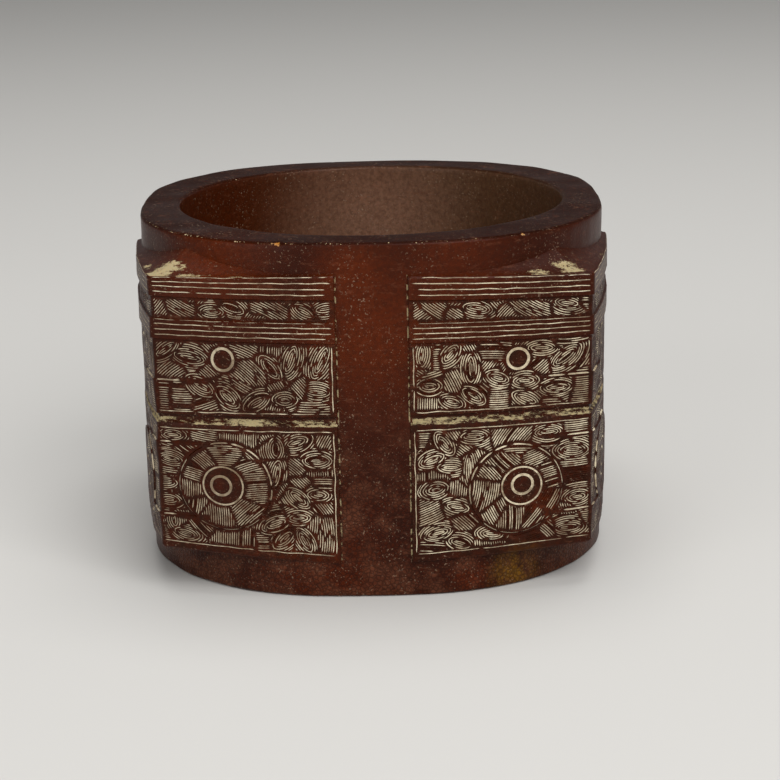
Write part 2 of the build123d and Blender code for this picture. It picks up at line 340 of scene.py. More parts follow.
# The tube and the chips on its rims, with the turns in degrees of those read from the photograph
COLUMNS, ROWS = 720, 40
RIM_SEGMENTS, END_CUTS = 4, 9
READ_CHIPS = (-111.0, -54.2, -61, -45.9, -132.2, -101.3, -91.1, -140.2)
LARGE_CHIPS, LARGE_CHIP, SMALL_CHIP = 2, (0.8, 1.1), (0.3, 0.6)  # how many are large, and both sizes
STRAY_CHIPS, CHIP_SEED = 60, 7
OUTER_HEAD, INNER_HEAD, OUTER_FOOT, INNER_FOOT = (True, False), (True, True), (False, False), (False, True)
TUBE_SWELLS, BORE_SWELL = ((0.06, 13, 31), (0.02, 4, 32)), 0.6
RIM_WORN = (0.8, 0.05, 9, 33)  # how far from a rim, how deep, its size and seed
CHIP_SHOWN, CHIP_TALL, CHIP_DROP, CHIP_INWARD = 0.65, 0.8, 0.16, 0.14
# Painted glints along every rim edge: how strongly they show, how fast they fade from the edge, how much
# faster they fade across the rim's face, and how much fainter they are at the bore's edge
EDGE_GLINT_SHOWN, EDGE_FALL, EDGE_ACROSS, INNER_EXTRA = 0.39, 0.45, 5, 0.06


def linear(code):
    """An sRGB hex colour as Blender's linear red, green, blue and alpha."""
    parts = [int(code[at : at + 2], 16) / 255 for at in (1, 3, 5)]
    return [part / 12.92 if part <= 0.04045 else ((part + 0.055) / 1.055) ** 2.4 for part in parts] + [1.0]


def size_setting(name, description, default):
    """A size in millimetres for the panel."""
    return bpy.props.FloatProperty(name=name, description=description, default=default * MM, unit="LENGTH")


def colour_setting(name, description, code):
    """A colour for the panel."""
    return bpy.props.FloatVectorProperty(
        name=name, description=description, subtype="COLOR", size=4, default=linear(code)
    )


class CongSizes(bpy.types.PropertyGroup):
    """Sizes of the cuts and of what lies in them."""

    line_pitch: size_setting("Line pitch", "From one engraved line to the next", 0.34)
    line_width: size_setting("Line width", "Width of an engraved line at the surface", 0.175)
    line_depth: size_setting("Line depth", "Depth of an engraved line", 0.13)
    recess: size_setting("Residue recess", "How far below the stone the residue lies", 0.018)
    rim_rounding: size_setting("Rim rounding", "Worn rounding of the tube's rims", 0.5)


class CongColours(bpy.types.PropertyGroup):
    """Colours of the stone, the residue and the floor."""

    stone: colour_setting("Stone", "Dark red-brown of the jade", "#3A1202")
    amber: colour_setting("Amber", "Where the jade lets light through", "#5A2002")
    film: colour_setting("Film", "Grey film on the carved panels", "#231004")
    residue: colour_setting("Residue", "Pale earth in the cuts", "#DFD2B4")
    floor: colour_setting("Floor", "Plain pale floor", "#D0CECA")


def arc_length(x):
    """How far along the bowed side a place at x from its middle lies."""
    return FACE_RADIUS * np.arcsin(np.asarray(x, float) / FACE_RADIUS)


def fillet_centre(half_centre, radius, rounding):
    """How far out along each axis the rounding of a corner has its centre."""
    square = half_centre**2 - (radius - rounding) ** 2
    return (-2 * half_centre + math.sqrt(4 * half_centre**2 - 8 * square)) / 4


CORNER_LENGTH = float(arc_length(BLOCK_CORNER))
END = CORNER_LENGTH - float(arc_length(BAND_HALF))  # of a corner block, measured along its face from the edge
ROUND_AT = fillet_centre(FACE_CENTRE, FACE_RADIUS, EDGE_ROUNDING)
ROUND_LEAN = math.atan2(ROUND_AT, ROUND_AT + FACE_CENTRE)
ROUND_HALF = CORNER_LENGTH - FACE_RADIUS * ROUND_LEAN


def waves(points, size, seed, count=7):
    """A smooth unevenness of about -1 to 1 whose swells are about one size across."""
    chance = np.random.default_rng(seed)
    ways = chance.normal(size=(count, points.shape[-1]))
    ways *= (chance.uniform(*WAVE_RATES, count) * 2 * math.pi / size / np.linalg.norm(ways, axis=1))[:, None]
    swell = np.sin(points @ ways.T + chance.uniform(0, 2 * math.pi, count)).sum(-1)
    return swell * (2 / count) ** 0.5 / WAVE_REACH


def drift(corner, u, v):
    """How far the hand-cut levels rise at a place on a corner block."""
    left, edge, right = (np.interp(v, DRIFT_AT, column) for column in DRIFT[corner])
    return edge + (np.where(u < 0, left, right) - edge) * np.clip(np.abs(u) / END, 0, 1)


def block_point(corner, u, v, h):
    """Places in space of points on a block."""
    z = v + drift(corner, u, v)
    lean = (CORNER_LENGTH - np.abs(u)) / FACE_RADIUS
    flat_x = (FACE_RADIUS + h) * np.sin(lean)
    flat_y = FACE_CENTRE - (FACE_RADIUS + h) * np.cos(lean)
    turn = -TURN / 2 + (TURN / 2 - ROUND_LEAN) * u / ROUND_HALF
    round_x = ROUND_AT + (EDGE_ROUNDING + h) * np.cos(turn)
    round_y = -ROUND_AT + (EDGE_ROUNDING + h) * np.sin(turn)
    x = np.where(np.abs(u) < ROUND_HALF, round_x, np.where(u < 0, flat_x, -flat_y))
    y = np.where(np.abs(u) < ROUND_HALF, round_y, np.where(u < 0, flat_y, -flat_x))
    cos, sin = math.cos(TURN * corner), math.sin(TURN * corner)
    return np.stack([x * cos - y * sin, x * sin + y * cos, z], -1)


def collar_radius(angle):
    """The collar's distance from the axis, on any of its four alike sides."""
    bow = COLLAR_HALF - COLLAR_CORNER
    radius = (COLLAR_CORNER**2 + bow**2) / (2 * bow)
    centre = radius - COLLAR_HALF
    round_at = fillet_centre(centre, radius, COLLAR_ROUNDING)
    lean = math.atan2(round_at, round_at + centre)
    meet = math.atan2(radius * math.sin(lean), radius * math.cos(lean) - centre)
    off = np.abs((np.asarray(angle) + TURN / 2) % TURN - TURN / 2)
    side = -centre * np.cos(off) + np.sqrt(radius**2 - (centre * np.sin(off)) ** 2)
    along = round_at * (np.cos(off) + np.sin(off))
    return np.where(off < meet, side, along + np.sqrt(along**2 - 2 * round_at**2 + COLLAR_ROUNDING**2))


def read_place(x, z):
    """A place read on the front, at x from the band's middle, as u and v."""
    u = float(arc_length(x)) - math.copysign(CORNER_LENGTH, x)
    corner = FRONT_RIGHT if x > 0 else FRONT_LEFT
    return u, z - float(drift(corner, np.asarray(u), np.asarray(float(z))))


def on_ledge(u, v, margin):
    """Which places lie on the upper edge of a raised form that runs across the block's edge."""
    hits = [(np.abs(v - top) < margin) & (np.abs(u) < half) for half, foot, top in FORMS]
    return np.any(hits, axis=0)


def relief(corner, u, v, eyes):
    """How far out of the block's outline the surface stands."""
    heights, sinks = zip(*PROFILE)
    out = -np.interp(v, heights, sinks)
    near = [np.hypot(u - eye["lid"][0], v - eye["lid"][1]) - EYELID_RADIUS for eye in eyes]
    raised = np.clip((STEP - np.min(near, axis=0)) / (2 * STEP), 0, 1)
    for half, foot, top in FORMS:
        wedge = np.clip((top + STEP - v) / (2 * STEP), 0, 1) * np.clip((v - foot) / (top - foot), 0, 1)
        raised = np.maximum(raised, wedge * np.clip((half - np.abs(u)) / FORM_FADE, 0, 1))
    out = out + raised * (PANEL_SINK - FORM_SINK) * ((v < UNRAISED[0]) | (v > UNRAISED[1]))
    wide, deep = SIDE_WORN
    out = out - deep * np.clip((np.abs(u) - END + wide) / wide, 0, 1)
    place = np.stack([u + CORNERS_APART * corner, v], -1)
    for swell, size, seed in BLOCK_SWELLS:
        out = out + swell * waves(place, size, seed)
    return out


class Half:
    """The carving of one half of a corner block: its eyes, its cells and where strokes may run."""

    def __init__(self, corner, hand):
        shown = (corner, hand) in ((FRONT_RIGHT, -1), (FRONT_LEFT, 1))
        self.chance = random.Random(SEEDS_APART * corner + hand)
        self.hand = hand
        self.bare = [(*read_place(x, z), radius) for x, z, radius in BARE_PLACES if shown and x * hand < 0]
        slip = (lambda: 0) if shown else (lambda: self.chance.uniform(-JITTER, JITTER))
        eddies, hatches, lids, eyes = (
            (RIGHT_EDDIES, RIGHT_HATCHES, RIGHT_LIDS, RIGHT_EYES)
            if hand < 0
            else (LEFT_EDDIES, LEFT_HATCHES, LEFT_LIDS, LEFT_EYES)
        )
        self.eyes = {}
        for name, (x, z, radius) in eyes.items():
            self.eyes[name] = (*read_place(x + slip() / 2, z + slip() / 2), radius)
        self.open_cells = self.cells(eddies, hatches, slip)
        self.lid_cells = self.cells((), lids, slip)

    def cells(self, eddies, hatches, slip):
        """Cells as rows of core start, core end, own radius, lean, freshness, and 1 for an eddy."""
        rows = []
        for x, z, half, lean in eddies:
            u, v = read_place(x + slip(), z + slip() / 2)
            lean = math.radians(lean + LEAN_JITTER[0] * slip())
            reach = Vector((math.cos(lean), math.sin(lean))) * half
            rows.append((u - reach.x, v - reach.y, u + reach.x, v + reach.y, EDDY_RADIUS, lean, 1, 1))
        for x0, x1, z0, z1, lean, fresh in hatches:
            u, v = read_place((x0 + x1) / 2 + slip(), (z0 + z1) / 2 + slip() / 2)
            wide, tall = x1 - x0, z1 - z0
            radius = min(wide, tall) / 2
            over, up = max(wide / 2 - radius, LEAST_REACH), max(tall / 2 - radius, LEAST_REACH)
            lean = math.radians(lean + LEAN_JITTER[1] * slip())
            rows.append((u - over, v - up, u + over, v + up, radius, lean, fresh, 0))
        return np.array(rows)

    def allowed(self, points, in_lid):
        """Which points a stroke may cross: inside the panels, clear of ledges, rings and frame lines."""
        u, v = points.T
        from_large, from_lid, from_small = (
            np.hypot(u - self.eyes[name][0], v - self.eyes[name][1]) for name in ("large", "lid", "small")
        )
        off = u * self.hand
        free = ~on_ledge(u, v, LEDGE_CLEAR) & (off > EDGE_CLEAR)
        if in_lid:
            free &= from_large > self.eyes["large"][2] + LID_CLEAR
            return free & (from_lid < EYELID_RADIUS - LID_CLEAR)
        lower, upper, band = (
            (v > foot) & (v < top) & (off < END - margin)
            for (foot, top), margin in (
                (LOWER_PANEL, FRAME_INSET + FRAME_CLEAR),
                (UPPER_PANEL, FRAME_INSET + FRAME_CLEAR),
                (SCROLL_BAND, EDGE_CLEAR),
            )
        )
        lower &= from_lid > EYELID_RADIUS + LID_CLEAR
        upper &= from_small > self.eyes["small"][2] + EDGE_CLEAR
        return free & (lower | upper | band)

    def share(self, place):
        """How wide a stroke is cut at a place: the carving left of a band is finer and more worn."""
        if place[1] > BAND_FOOT:
            return BAND_WIDTHS[self.hand]
        if self.hand < 0:
            return 1.0
        beside_edge = EDGE_WIDTH + (1 - EDGE_WIDTH) * min(1, abs(place[0]) / EDGE_REACH)
        return (UPPER_WIDTH if place[1] > CHANNEL_MIDDLE else LOWER_WIDTH) * beside_edge

    def is_bare(self, place):
        """Whether the residue has fallen out at a place."""
        return any(math.hypot(place[0] - u, place[1] - v) < radius for u, v, radius in self.bare)


def own(points, cells, index):
    """Which points lie well inside one cell, nearer to its core than to any other by more than the gap."""
    start, end, radius = cells[:, 0:2], cells[:, 2:4], cells[:, RADIUS]
    reach = end - start
    share = np.clip(((points[:, None] - start) * reach).sum(-1) / (reach**2).sum(-1), 0, 1)
    far = np.linalg.norm(points[:, None] - start - share[..., None] * reach, axis=-1) - radius
    mine = far[:, index].copy()
    far[:, index] = np.inf
    return mine < far.min(axis=1) - CELL_GAP


def cell_paths(cell, pitch, chance):
    """The lines of one cell: closed loops round an eddy's core, or slightly bowed lines side by side."""
    core, reach = (cell[0:2] + cell[2:4]) / 2, np.linalg.norm(cell[2:4] - cell[0:2]) / 2
    lean = np.array([math.cos(cell[LEAN]), math.sin(cell[LEAN])])
    across = np.array([-lean[1], lean[0]])
    if cell[IS_EDDY]:
        for ring in range(EDDY_RINGS):
            radius = (ring + EDDY_HEART) * pitch * chance.uniform(*UNEVEN_PITCH)
            steps = max(LEAST_STEPS, int(2 * math.pi * (radius + reach) / EDDY_STEP))
            turns = np.linspace(0, 2 * math.pi, steps)[:-1] + chance.uniform(0, 2 * math.pi)
            run = (LEAF * radius + reach) * np.cos(turns)
            rise = np.sign(np.sin(turns)) * np.abs(np.sin(turns)) ** LEAF
            yield core + np.outer(run, lean) + np.outer(radius * rise, across)
    else:
        reach = reach + cell[RADIUS] + HATCH_REACH
        bow = HATCH_BOW * chance.choice(HATCH_BOWS)
        steps = np.arange(-reach, reach, HATCH_STEP)
        count = int(reach / pitch)
        for line in range(-count, count + 1):
            sway = bow * steps**2 + chance.uniform(*UNEVEN_LINE)
            yield core + np.outer(steps, lean) + np.outer(line * pitch + sway, across)


def runs(path, kept, chance):
    """The kept stretches of a path, none too long for one stroke of the tool nor too short."""
    places = np.flatnonzero(kept)
    for stretch in np.split(places, np.flatnonzero(np.diff(places) > 1) + 1):
        while len(stretch) > 2:
            line = path[stretch]
            length = np.concatenate([[0], np.cumsum(np.linalg.norm(np.diff(line, axis=0), axis=1))])
            if length[-1] < SHORTEST:
                break
            stop = length[-1] if length[-1] < LONGEST else chance.uniform(*CUT_OFF) * LONGEST
            start = chance.uniform(*LATE)
            count = max(3, round((stop - start) / SPACING) + 1)
            at = np.linspace(start, stop - chance.uniform(*LATE), count)
            yield np.stack([np.interp(at, length, line[:, axis]) for axis in range(2)], -1)
            stretch = stretch[length > stop + BREAK]


class Stroke:
    """One engraved line: its middle, and at each point its half width and depth."""

    def __init__(self, points, width, depth, filled, chance):
        count = len(points)
        self.points = points
        along = np.linspace(-1, 1, count)
        body = np.clip(TIP - np.abs(along) ** max(TAPER, count), 0, 1)
        hand = np.array([chance.uniform(*UNEVEN_WIDTH) for _ in range(count)])
        self.half = width / 2 * body * hand
        self.depth = depth * np.minimum(body, 1) * hand
        self.filled = filled
        ahead = np.gradient(points, axis=0)
        ahead /= np.linalg.norm(ahead, axis=1)[:, None] + 1e-9
        self.left = np.stack([-ahead[:, 1], ahead[:, 0]], -1)

    def rails(self, share=1.0):
        """The left and right edges without the tips."""
        inner = slice(1, -1)
        side = self.left[inner] * self.half[inner, None] * share
        return self.points[inner] + side, self.points[inner] - side


def carve_half(half, pitch, width, depth):
    """All strokes of the scrolls on one half."""
    strokes, chance = [], half.chance
    for cells, in_lid in ((half.open_cells, False), (half.lid_cells, True)):
        for index, cell in enumerate(cells):
            for path in cell_paths(cell, pitch, chance):
                for line in runs(path, own(path, cells, index) & half.allowed(path, in_lid), chance):
                    if chance.random() > DRAWN_FADED + DRAWN_FRESH * cell[FRESH]:
                        continue
                    middle = line.mean(axis=0)
                    place = middle[None] + HALVES_APART * half.hand
                    worn = max(0, float(waves(place, WEAR_SIZE, WEAR_SEED)[0]))
                    filled = chance.random() < FILLED - WORN_OUT * worn - FADED_OUT * (1 - cell[FRESH])
                    thin = chance.uniform(*UNEVEN_STROKE) * (1 - THINNED * worn) * half.share(middle)
                    filled = filled and not half.is_bare(middle)
                    strokes.append(Stroke(line, width * thin, depth * thin, filled, chance))
    return strokes


def ruled(start, end, chance, cut, width, depth):
    """The strokes of a long engraved line from one place to another, wavering, with breaks."""
    waver, share, broken = cut
    start, end = np.array(start, float), np.array(end, float)
    length = np.linalg.norm(end - start)
    lean = (end - start) / length
    across = np.array([-lean[1], lean[0]])
    strokes, at, seed = [], 0.0, chance.randrange(1000)
    while at < length - SHORTEST:
        stop = at + chance.uniform(*RULED_PIECE)
        while stop < length and chance.random() > broken:
            stop += chance.uniform(*RULED_PIECE)
        stop = min(stop, length)
        steps = np.linspace(at, stop, max(3, int((stop - at) / RULED_STEP)))
        sway = waver * waves(steps[:, None], WAVER_SIZE, seed)
        line = start + np.outer(steps, lean) + np.outer(sway, across)
        strokes.append(Stroke(line, width * share, depth, True, chance))
        at = stop + chance.uniform(*RULED_BREAK)
    return strokes


def bar_strokes(half, width, depth):
    """The lines along both bars of one half."""
    chance, hand, strokes = half.chance, half.hand, []
    for level in BAR_LINES:
        inner = END - chance.choice(BAR_ENDS)
        # The nicks along the bars' upper edges are a painted highlight of those edges
        cut = HIGHLIGHT_NICK_CUT if level in HIGHLIGHT_NICKS else BAR_CUT
        strokes += ruled((hand * BAR_START, level), (hand * inner, level), chance, cut, width, depth * cut[1])
    return strokes


def frame_strokes(half, width, depth):
    """The lines that frame the panels of one half, along the band's side and at their tops and feet."""
    chance, hand, strokes = half.chance, half.hand, []
    inner = hand * (END - FRAME_INSET)
    for level in FRAME_LEVELS:
        ends = (hand * FRAME_START, level), (inner - hand * FRAME_MEET, level)
        strokes += ruled(*ends, chance, LEVEL_CUT, width, depth)
    for foot, top in (FRAME_LEVELS[:2], (FRAME_LEVELS[2], UPPER_PANEL[1])):
        ends = (inner, foot + FRAME_MEET), (inner, top - FRAME_MEET)
        strokes += ruled(*ends, chance, UPRIGHT_CUT, width, depth)
    # Lines along the forms' tops, partly a painted highlight of their upper edges
    for (reach, foot, top), lined in zip(FORMS, FORM_HIGHLIGHT_LINES):
        stop = reach * lined * (1 if hand < 0 else SHORTER)
        strokes += ruled((hand * FORM_START, top), (hand * stop, top), chance, FORM_CUT, width, depth)
    u, v, radius = half.eyes["lid"]
    turns = np.radians(np.arange(*LID_TURNS))
    path = np.stack([u + radius * np.cos(turns), v + radius * np.sin(turns)], -1)
    for line in runs(path, ~on_ledge(*path.T, LID_CLEAR) & (path[:, 0] * hand > EDGE_CLEAR), chance):
        strokes.append(Stroke(line, width * LID_WIDTH, depth, chance.random() < LID_FILLED, chance))
    return strokes


def circle(centre, radius, count, phase=0):
    """Points round a circle that is slightly out of round."""
    turns = np.linspace(0, 2 * math.pi, count, endpoint=False)
    wide = radius + OUT_OF_ROUND * np.sin(2 * turns + phase)
    return np.stack([centre[0] + wide * np.cos(turns), centre[1] + wide * np.sin(turns)], -1)


class Sheet:
    """Points and lines that the carved skin must keep, in the flat u, v of the block."""

    def __init__(self):
        self.points, self.depths, self.edges, self.count = [], [], [], 0

    def chain(self, points, depth=0.0, closed=False):
        """Adds a line of points and returns their numbers."""
        numbers = np.arange(self.count, self.count + len(points))
        self.points.append(np.asarray(points, float))
        self.depths.append(np.broadcast_to(depth, len(points)))
        self.edges.append(np.stack([numbers[:-1], numbers[1:]], -1))
        if closed:
            self.edges.append(np.array([[numbers[-1], numbers[0]]]))
        self.count += len(points)
        return numbers

    def stroke(self, stroke):
        """Adds a stroke: two tips, its edges at the surface and its bed."""
        left, right = stroke.rails()
        outline = np.concatenate([stroke.points[:1], left, stroke.points[-1:], right[::-1]])
        numbers = self.chain(outline, closed=True)
        bed = self.chain(stroke.points[1:-1], stroke.depth[1:-1])
        self.edges.append(np.array([[numbers[0], bed[0]], [bed[-1], numbers[len(left) + 1]]]))

    def fill_bare(self):
        """Adds loose points where no line runs, so that the stone's unevenness shows there too."""
        shape = (int(2 * END / BARE_CELL) + 3, int((TOP - SOLE) / BARE_CELL) + 3)
        taken = np.zeros(shape, bool)
        where = ((np.concatenate(self.points) - [-END, SOLE]) / BARE_CELL).astype(int) + 1
        where = where.clip(0, np.array(shape) - 1)
        taken[where[:, 0], where[:, 1]] = True
        free = np.argwhere(~taken[1:-2, 1:-2])
        if len(free):
            self.chain((free + 0.5) * BARE_CELL + [-END, SOLE])
            self.edges.pop()

    def triangles(self):
        """The skin as points, depths and triangles."""
        points = [Vector(point) for point in np.concatenate(self.points).tolist()]
        made = delaunay_2d_cdt(points, np.concatenate(self.edges).tolist(), [], 0, 1e-5, True)
        flat = np.array([tuple(point) for point in made[0]])
        given = np.concatenate(self.depths)
        depths = [max((given[origin] for origin in origins), default=0.0) for origins in made[3]]
        return flat, np.array(depths), np.array(made[2])


def skin_sheet(halves, strokes):
    """Everything that the skin of one corner block is drawn from."""
    sheet = Sheet()
    levels = [level for level, sink in PROFILE]
    aside = np.linspace(EDGE_FINE, END, COLUMNS_ASIDE)
    near_edge = np.linspace(-EDGE_FINE, EDGE_FINE, COLUMNS_EDGE)[1:-1]
    columns = np.concatenate([np.linspace(-END, -EDGE_FINE, COLUMNS_ASIDE), near_edge, aside])
    for level in levels:
        sheet.chain(np.stack([columns, np.full(len(columns), level)], -1))
    uprights = [-END, -END + SIDE_WORN[0], END - SIDE_WORN[0], END]
    uprights += [ROUND_HALF * share for share in EDGE_UPRIGHTS]
    rows = np.unique(np.concatenate([levels, np.arange(SOLE + 1, TOP, ROW_PITCH)]))
    for u in uprights:
        sheet.chain(np.stack([np.full(len(rows), u), rows], -1))
    for half in halves:
        for off in (-STEP, STEP):
            sheet.chain(circle(half.eyes["lid"][:2], EYELID_RADIUS + off, LID_POINTS), closed=True)
    for reach, foot, top in FORMS:
        for off in (-STEP, STEP):
            steps = np.linspace(-reach, reach, LEDGE_POINTS)
            sheet.chain(np.stack([steps, np.full(LEDGE_POINTS, top + off)], -1))
    for half in halves:
        for kind, wide in RING_HALF_WIDTHS.items():
            u, v, radius = half.eyes[kind]
            inner = wide - RING_WALL
            for off, depth in ((wide, 0), (inner, RING_DEPTH), (-inner, RING_DEPTH), (-wide, 0)):
                sheet.chain(circle((u, v), radius + off, RING_POINTS, u), depth, closed=True)
    for stroke in strokes:
        sheet.stroke(stroke)
    sheet.fill_bare()
    return sheet


def alone(piece):
    """Selects one object and nothing else, or nothing at all."""
    for other in bpy.context.view_layer.objects:
        other.select_set(False)
    if piece:
        piece.select_set(True)
        bpy.context.view_layer.objects.active = piece


def set_wear(mesh, values):
    """Gives each point its crust with a painted highlight, its film, and its chips with painted glints, as
    the red, green and blue of its vertex colour layer.
    """
    layer = mesh.color_attributes.new(name="Wear_and_painted_light", type="FLOAT_COLOR", domain="POINT")
    colour = np.stack([*values, np.ones(len(mesh.vertices))], -1)
    layer.data.foreach_set("color", colour.astype(np.float32).ravel())


def mesh_piece(name, points, faces, made_of, uv=None, wear=None):
    """A finished piece from points in millimetres, its place in its mesh."""
    mesh = bpy.data.meshes.new(name)
    mesh.from_pydata((np.asarray(points) * MM).tolist(), [], faces)
    piece = bpy.data.objects.new(name, mesh)
    bpy.context.collection.objects.link(piece)
    mesh.materials.append(made_of)
    if uv is not None:
        corners = np.empty(len(mesh.loops), np.int32)
        mesh.loops.foreach_get("vertex_index", corners)
        layer = mesh.uv_layers.new(name="OFBake")
        layer.uv.foreach_set("vector", np.asarray(uv, np.float32)[corners].ravel())
    if wear is not None:
        set_wear(mesh, wear)
    mesh.validate()
    alone(piece)
    bpy.ops.object.shade_smooth_by_angle(angle=math.radians(BLOCK_SMOOTH))
    return piece


def close_skin(corner, flat, shape, triangles):
    """Adds the slopes above and below, the walls beside the bands and a back within the tube's wall."""
    u, v = flat.T
    near = 1e-4
    bottom, top = np.abs(v - SOLE) < near, np.abs(v - TOP) < near
    left, right = np.abs(u + END) < near, np.abs(u - END) < near
    sides = ((bottom, u), (right, v), (top, -u), (left, -v))
    loop = [sorted(np.flatnonzero(side), key=lambda i: along[i])[:-1] for side, along in sides]
    loop = np.concatenate(loop)
    rim = shape[loop]
    radius, angle = np.hypot(rim[:, 0], rim[:, 1]), np.arctan2(rim[:, 1], rim[:, 0])
    run = radius - (collar_radius(angle) - SET_IN)
    upper, lower = top[loop], bottom[loop]
    lift = np.where(upper, SLOPE_RISE * run + SLOPE_START, np.where(lower, -SOLE_FALL * run, 0))
    points, faces, flats = [shape], triangles.tolist(), [flat]
    out = np.stack([(right[loop] * 1 - left[loop]) * WALL_OUT, upper * UPPER_OUT - lower * LOWER_OUT], -1)
    last, total = loop, len(shape)
    for share in SLOPE_ROWS:
        reach = radius - run * share
        rise = lift * np.where(upper, share**SLOPE_CURVE, share)
        points.append(np.stack([reach * np.cos(angle), reach * np.sin(angle), rim[:, 2] + rise], -1))
        flats.append(flat[loop] + out * share)
        row = np.arange(total, total + len(loop))
        faces += np.stack([last, row, np.roll(row, -1), np.roll(last, -1)], -1).tolist()
        last, total = row, total + len(loop)
    middle = TURN * (corner - 0.5)
    points.append([[BACK_RADIUS * math.cos(middle), BACK_RADIUS * math.sin(middle), (SOLE + TOP) / 2]])
    flats.append([[0, 0]])
    faces += np.stack([np.roll(last, -1), last, np.full(len(last), total)], -1).tolist()
    return np.concatenate(points), faces, np.concatenate(flats)


def joined(parts):
    """Joins parts, each given as points and faces, into one set of points and faces."""
    faces, total = [], 0
    for points, sides in parts:
        faces += [tuple(number + total for number in side) for side in sides]
        total += len(points)
    return np.concatenate([points for points, sides in parts]), faces


def strip(corner, stroke, eyes, recess):
    """A closed three-sided strip in a stroke, a little below the stone, and its places in u and v."""
    depth, bed = stroke.depth[1:-1], stroke.points[1:-1]
    fit = 1 - recess / depth.min() if depth.min() > recess * 2 else 0.5
    left, right = stroke.rails(fit * STRIP_FIT)
    count = len(bed)
    sides = np.stack([left, right, bed], 1).reshape(-1, 2)
    flat = np.concatenate([stroke.points[:1], sides, stroke.points[-1:]])
    level = np.full(count, recess)
    sink = np.concatenate([[recess], np.stack([level, level, depth * STRIP_BED], -1).ravel(), [recess]])
    u, v = flat.T
    faces = []
    for first in range(1, 3 * count - 2, 3):
        left_at, right_at, bed_at, left_next, right_next, bed_next = range(first, first + 6)
        faces.append((right_at, right_next, left_next, left_at))
        faces.append((left_at, left_next, bed_next, bed_at))
        faces.append((right_next, right_at, bed_at, bed_next))
    last, end = 3 * count - 2, 3 * count + 1
    faces += [(0, 2, 1), (0, 1, 3), (0, 3, 2)]
    faces += [(end, last, last + 1), (end, last + 2, last), (end, last + 1, last + 2)]
    return block_point(corner, u, v, relief(corner, u, v, eyes) - sink), faces, flat


def ring_fill(corner, eye, wide, eyes):
    """Residue in one drilled ring as a closed band of square section."""
    half, floor, lean = wide - RING_FIT, RING_DEPTH * RING_BED, RING_WALL / 2
    points, faces = [], []
    for off, sink in ((half, RING_RECESS), (half - lean, floor), (lean - half, floor), (-half, RING_RECESS)):
        u, v = circle(eye[:2], eye[2] + off, RING_POINTS, eye[0]).T
        points.append(block_point(corner, u, v, relief(corner, u, v, eyes) - sink))
    for row in range(len(points)):
        here, after = row * RING_POINTS, (row + 1) % len(points) * RING_POINTS
        for step in range(RING_POINTS):
            ahead = (step + 1) % RING_POINTS
            faces.append((here + step, after + step, after + ahead, here + ahead))
    return np.concatenate(points), faces


@functools.cache
def carved(corner, pitch, width, depth):
    """The halves of a corner block and the strokes of its scrolls, bars and frames, worked out once."""
    halves = [Half(corner, hand) for hand in HANDS]
    scrolls, bars, frames = [], [], []
    for half in halves:
        scrolls += carve_half(half, pitch, width, depth)
        bars += bar_strokes(half, width, depth)
        frames += frame_strokes(half, width, depth)
    return halves, scrolls, bars, frames


def carving(corner):
    """The halves and strokes of a corner block at the sizes that the panel shows."""
    sizes = bpy.context.scene.cong_sizes
    return carved(corner, *(size / MM for size in (sizes.line_pitch, sizes.line_width, sizes.line_depth)))


def skin_wear_and_highlight(corner, flat):
    """How much crust, painted highlight along the channel's lower lip and film each point of a block's skin
    shows; its chips are left to the tube.
    """
    u, v = flat.T
    place = flat + [CORNERS_APART * corner, 0]
    crust_and_highlight = np.zeros(len(u))
    for at, wide, amount, low, high in SHOULDER_CRUST[corner]:
        up = v - TOP
        fade = np.clip((high + 1 - up) / CRUST_FADE, 0, 1) * np.clip((up - low) / CRUST_START + 1, 0, 1)
        crust_and_highlight = np.maximum(crust_and_highlight, amount * np.exp(-(((u - at) / wide) ** 2)) * fade * (up > -STEP / 10))
    foot, top, *channel = CHANNEL_CRUST
    # Crust in the channel, and a painted highlight along its lower lip
    reach, *lip = LIP_PAINTED_HIGHLIGHT
    zones = ((v > foot) & (v < top), channel), (np.abs(v - CHANNEL_LIP) < reach, lip)
    for zone, (amount, uneven, size, seed) in zones:
        crust_and_highlight = np.maximum(crust_and_highlight, zone * np.clip(amount + uneven * waves(place, size, seed), 0, 1))
    film = np.any([(v > foot) & (v < top) for foot, top in FILM_ZONES], axis=0)
    return crust_and_highlight, film, np.zeros(len(u))


